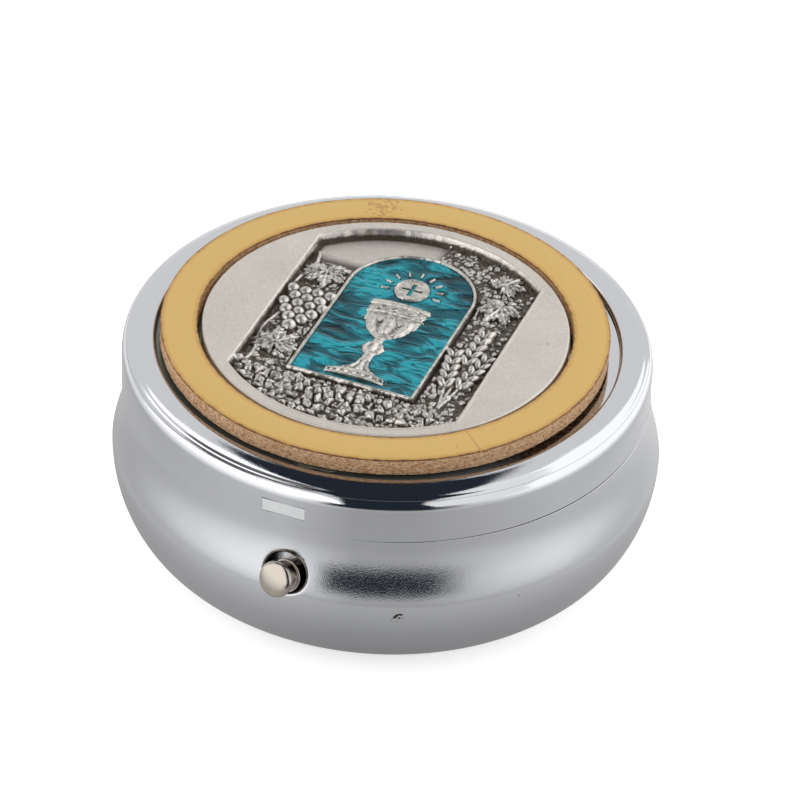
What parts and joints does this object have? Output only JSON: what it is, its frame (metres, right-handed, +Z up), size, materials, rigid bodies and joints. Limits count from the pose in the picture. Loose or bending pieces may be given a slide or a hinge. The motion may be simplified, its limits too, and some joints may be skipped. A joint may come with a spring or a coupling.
{
  "type": "pyx",
  "caption": "Round keepsake box for hosts: bellied chrome body, hinged lid with a sunk medallion in a gold-faced ring, press-button latch.",
  "frame": {"origin": "centre of the flat face that the box rests on", "axes": "+Z up through the lid, the button faces -Y, the hinge is at +Y, its pin lies along X"},
  "size_m": [0.05, 0.0524, 0.0217],
  "materials": {
    "chrome_plate": "satin chrome on the belly and skirt, bright on the rim",
    "nickel_plate": "warm nickel plate",
    "spring_steel": "plain drawn steel",
    "gilt_brass": "bright gilt",
    "fibre_board": "laser-cut wood-fibre board, raw edge",
    "gold_foil": "satin gold foil with a burnt cut edge",
    "clear_glue": "clear set glue",
    "antique_silver": "cast, silvered, darkened in the recesses and rubbed bright",
    "turquoise_enamel": "translucent poured enamel over a hammered ground"
  },
  "bodies": {
    "base": {"base_shell": "chrome_plate", "collar_ring": "nickel_plate", "inner_cup": "gilt_brass", "base_hinge_leaf": "nickel_plate", "hinge_pin": "spring_steel", "lid_spring": "spring_steel", "latch_rivet_left": "spring_steel", "latch_rivet_right": "spring_steel"},
    "latch": {"latch_spring": "spring_steel", "push_button": "nickel_plate", "button_washer": "spring_steel"},
    "lid": {"lid_shell": "chrome_plate", "lid_liner": "gilt_brass", "lid_hinge_leaf": "nickel_plate", "ring_glue": "clear_glue", "mdf_ring": "fibre_board", "gold_face": "gold_foil", "medallion_glue": "clear_glue", "medallion": "antique_silver", "enamel": "turquoise_enamel"}
  },
  "joints": [
    {"name": "lid_hinge", "type": "hinge", "parent": "base", "child": "lid", "pos_m": [0, 0.0244, 0.01575], "axis": [-1, 0, 0], "range_deg": [0, 105]},
    {"name": "latch_bend", "type": "hinge", "parent": "base", "child": "latch", "pos_m": [0, -0.0204, 0.0036], "axis": [-1, 0, 0], "range_deg": [0, 4.5], "stiffness_Nm_per_rad": 0.2}
  ]
}
